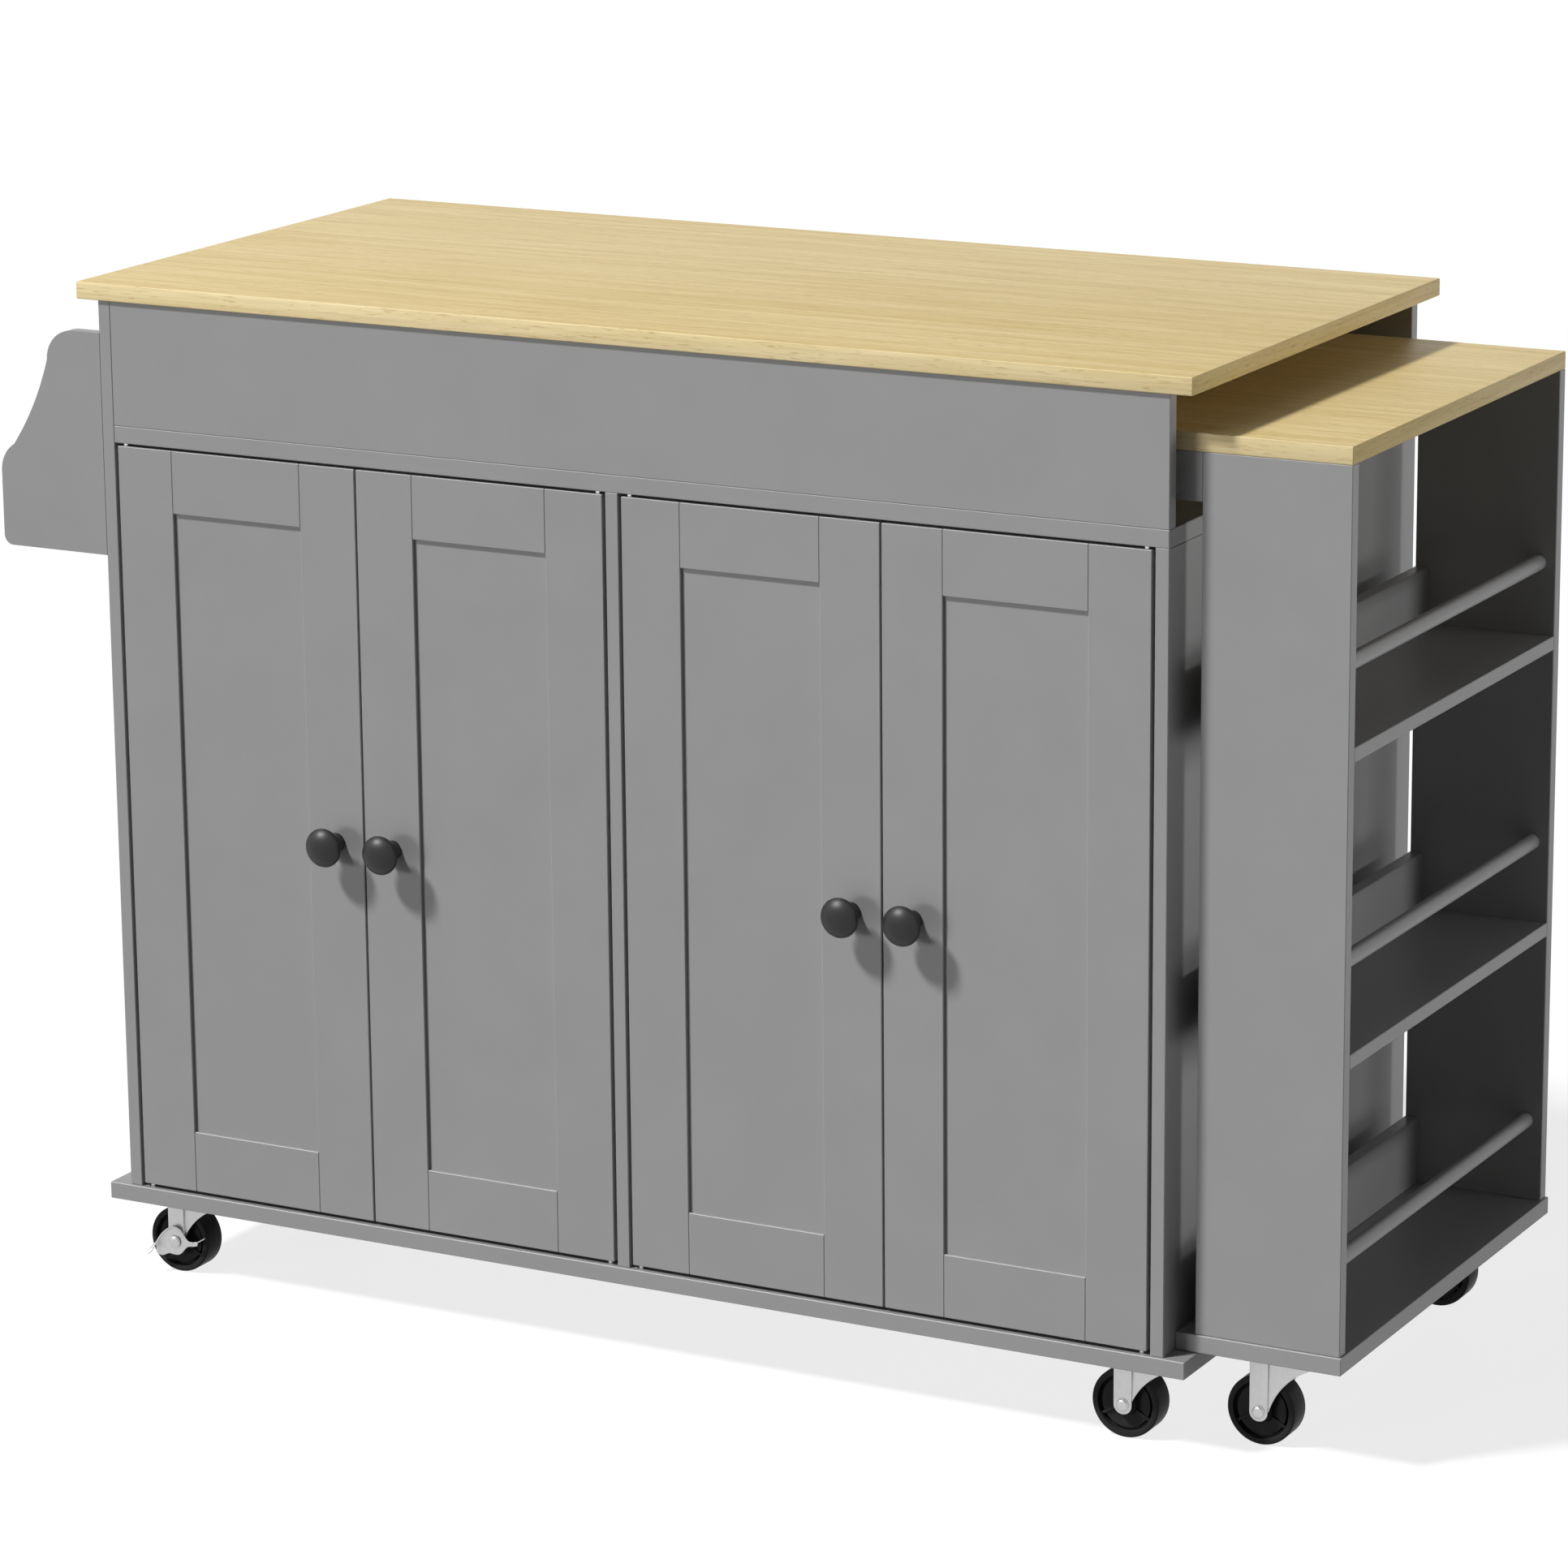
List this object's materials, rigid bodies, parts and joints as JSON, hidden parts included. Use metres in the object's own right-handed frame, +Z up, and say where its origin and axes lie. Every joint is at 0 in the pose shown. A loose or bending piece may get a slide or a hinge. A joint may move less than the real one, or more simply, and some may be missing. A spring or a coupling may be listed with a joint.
{
  "type": "rolling kitchen island",
  "caption": "Rolling kitchen island: shaker-door cabinet with oak-look worktop, pull-out table top on a shelf cart, side bottle rack and swivel casters.",
  "frame": {"origin": "on the floor, under the middle of the outline with doors closed and cart docked", "axes": "+X to the right along the front, towards the cart; +Y from front to back; +Z up"},
  "size_m": [1.2604, 0.537, 0.895],
  "materials": {
    "oak_laminate": "pale oak laminate, satin",
    "grey_lacquered_board": "mid grey lacquer, satin",
    "black_knob": "satin black enamel",
    "wheel_plastic": "moulded black polypropylene",
    "caster_steel": "bright zinc plate",
    "slide_steel": "zinc plated rolled steel",
    "pin_steel": "nickel plated steel",
    "catch_plastic": "moulded white plastic"
  },
  "bodies": {
    "cabinet": {"worktop": "oak_laminate", "base_board": "grey_lacquered_board", "deck_board": "grey_lacquered_board", "left_side_panel": "grey_lacquered_board", "right_side_panel": "grey_lacquered_board", "center_divider": "grey_lacquered_board", "front_fascia": "grey_lacquered_board", "rear_fascia": "grey_lacquered_board", "back_panels": "grey_lacquered_board", "adjustable_shelves": "grey_lacquered_board", "shelf_pins": "pin_steel", "door_pivot_pins": "pin_steel", "magnetic_catches": "catch_plastic", "slide_outer_members": "slide_steel", "rack_front_end": "grey_lacquered_board", "rack_rear_end": "grey_lacquered_board", "rack_shelf": "grey_lacquered_board", "rack_rail": "grey_lacquered_board", "caster_plates": "caster_steel", "caster_screws": "pin_steel"},
    "slide_middle": {"slide_middle_members": "slide_steel"},
    "cart": {"extension_top": "oak_laminate", "extension_side_aprons": "grey_lacquered_board", "extension_end_apron": "grey_lacquered_board", "cart_front_panel": "grey_lacquered_board", "cart_rear_panel": "grey_lacquered_board", "cart_bottom_board": "grey_lacquered_board", "cart_shelves": "grey_lacquered_board", "cart_back_strips": "grey_lacquered_board", "cart_guard_rails": "grey_lacquered_board", "slide_inner_members": "slide_steel", "cart_caster_plates": "caster_steel", "cart_caster_screws": "pin_steel"},
    "far_left_door": {"far_left_door_frame": "grey_lacquered_board", "far_left_door_panel": "grey_lacquered_board", "far_left_door_hardware": "black_knob"},
    "mid_left_door": {"mid_left_door_frame": "grey_lacquered_board", "mid_left_door_panel": "grey_lacquered_board", "mid_left_door_hardware": "black_knob"},
    "mid_right_door": {"mid_right_door_frame": "grey_lacquered_board", "mid_right_door_panel": "grey_lacquered_board", "mid_right_door_hardware": "black_knob"},
    "far_right_door": {"far_right_door_frame": "grey_lacquered_board", "far_right_door_panel": "grey_lacquered_board", "far_right_door_hardware": "black_knob"},
    "front_left_caster": {"front_left_fork": "caster_steel"},
    "front_left_roller": {"front_left_wheel": "wheel_plastic"},
    "front_left_brake": {"front_left_brake_lever": "caster_steel"},
    "rear_left_caster": {"rear_left_fork": "caster_steel"},
    "rear_left_roller": {"rear_left_wheel": "wheel_plastic"},
    "rear_left_brake": {"rear_left_brake_lever": "caster_steel"},
    "front_right_caster": {"front_right_fork": "caster_steel"},
    "front_right_roller": {"front_right_wheel": "wheel_plastic"},
    "rear_right_caster": {"rear_right_fork": "caster_steel"},
    "rear_right_roller": {"rear_right_wheel": "wheel_plastic"},
    "cart_front_caster": {"cart_front_fork": "caster_steel"},
    "cart_front_roller": {"cart_front_wheel": "wheel_plastic"},
    "cart_rear_caster": {"cart_rear_fork": "caster_steel"},
    "cart_rear_roller": {"cart_rear_wheel": "wheel_plastic"}
  },
  "joints": [
    {"name": "far_left_door_hinge", "type": "hinge", "parent": "cabinet", "child": "far_left_door", "pos_m": [-0.50175, -0.2335, 0.0881], "axis": [0, 0, -1], "range_deg": [0, 110]},
    {"name": "mid_left_door_hinge", "type": "hinge", "parent": "cabinet", "child": "mid_left_door", "pos_m": [-0.03425, -0.2335, 0.0881], "axis": [0, 0, 1], "range_deg": [0, 82]},
    {"name": "mid_right_door_hinge", "type": "hinge", "parent": "cabinet", "child": "mid_right_door", "pos_m": [-0.00425, -0.2335, 0.0881], "axis": [0, 0, -1], "range_deg": [0, 82]},
    {"name": "far_right_door_hinge", "type": "hinge", "parent": "cabinet", "child": "far_right_door", "pos_m": [0.46325, -0.2335, 0.0881], "axis": [0, 0, 1], "range_deg": [0, 110]},
    {"name": "extension_slide", "type": "slide", "parent": "cabinet", "child": "cart", "axis": [1, 0, 0], "range_m": [0, 0.55]},
    {"name": "slide_middle_travel", "type": "slide", "parent": "cabinet", "child": "slide_middle", "axis": [1, 0, 0], "range_m": [0, 0.275]},
    {"name": "front_left_swivel", "type": "hinge", "parent": "cabinet", "child": "front_left_caster", "pos_m": [-0.47775, -0.2005, 0.07], "axis": [0, 0, 1], "continuous": true},
    {"name": "front_left_roll", "type": "hinge", "parent": "front_left_caster", "child": "front_left_roller", "pos_m": [-0.49075, -0.2005, 0.03], "axis": [0, 1, 0], "continuous": true},
    {"name": "front_left_brake_pedal", "type": "hinge", "parent": "front_left_caster", "child": "front_left_brake", "pos_m": [-0.49075, -0.2005, 0.03], "axis": [0, -1, 0], "range_deg": [0, 20]},
    {"name": "rear_left_swivel", "type": "hinge", "parent": "cabinet", "child": "rear_left_caster", "pos_m": [-0.47775, 0.2275, 0.07], "axis": [0, 0, 1], "continuous": true},
    {"name": "rear_left_roll", "type": "hinge", "parent": "rear_left_caster", "child": "rear_left_roller", "pos_m": [-0.49075, 0.2275, 0.03], "axis": [0, 1, 0], "continuous": true},
    {"name": "rear_left_brake_pedal", "type": "hinge", "parent": "rear_left_caster", "child": "rear_left_brake", "pos_m": [-0.49075, 0.2275, 0.03], "axis": [0, -1, 0], "range_deg": [0, 20]},
    {"name": "front_right_swivel", "type": "hinge", "parent": "cabinet", "child": "front_right_caster", "pos_m": [0.45125, -0.2005, 0.07], "axis": [0, 0, 1], "continuous": true},
    {"name": "front_right_roll", "type": "hinge", "parent": "front_right_caster", "child": "front_right_roller", "pos_m": [0.43825, -0.2005, 0.03], "axis": [0, 1, 0], "continuous": true},
    {"name": "rear_right_swivel", "type": "hinge", "parent": "cabinet", "child": "rear_right_caster", "pos_m": [0.45125, 0.2275, 0.07], "axis": [0, 0, 1], "continuous": true},
    {"name": "rear_right_roll", "type": "hinge", "parent": "rear_right_caster", "child": "rear_right_roller", "pos_m": [0.43825, 0.2275, 0.03], "axis": [0, 1, 0], "continuous": true},
    {"name": "cart_front_swivel", "type": "hinge", "parent": "cart", "child": "cart_front_caster", "pos_m": [0.5574, -0.1658, 0.0855], "axis": [0, 0, 1], "continuous": true},
    {"name": "cart_front_roll", "type": "hinge", "parent": "cart_front_caster", "child": "cart_front_roller", "pos_m": [0.5444, -0.1658, 0.03], "axis": [0, 1, 0], "continuous": true},
    {"name": "cart_rear_swivel", "type": "hinge", "parent": "cart", "child": "cart_rear_caster", "pos_m": [0.5574, 0.2158, 0.0855], "axis": [0, 0, 1], "continuous": true},
    {"name": "cart_rear_roll", "type": "hinge", "parent": "cart_rear_caster", "child": "cart_rear_roller", "pos_m": [0.5444, 0.2158, 0.03], "axis": [0, 1, 0], "continuous": true}
  ],
  "couplings": [
    {"joint": "slide_middle_travel", "follows": "extension_slide", "ratio": 0.5}
  ]
}
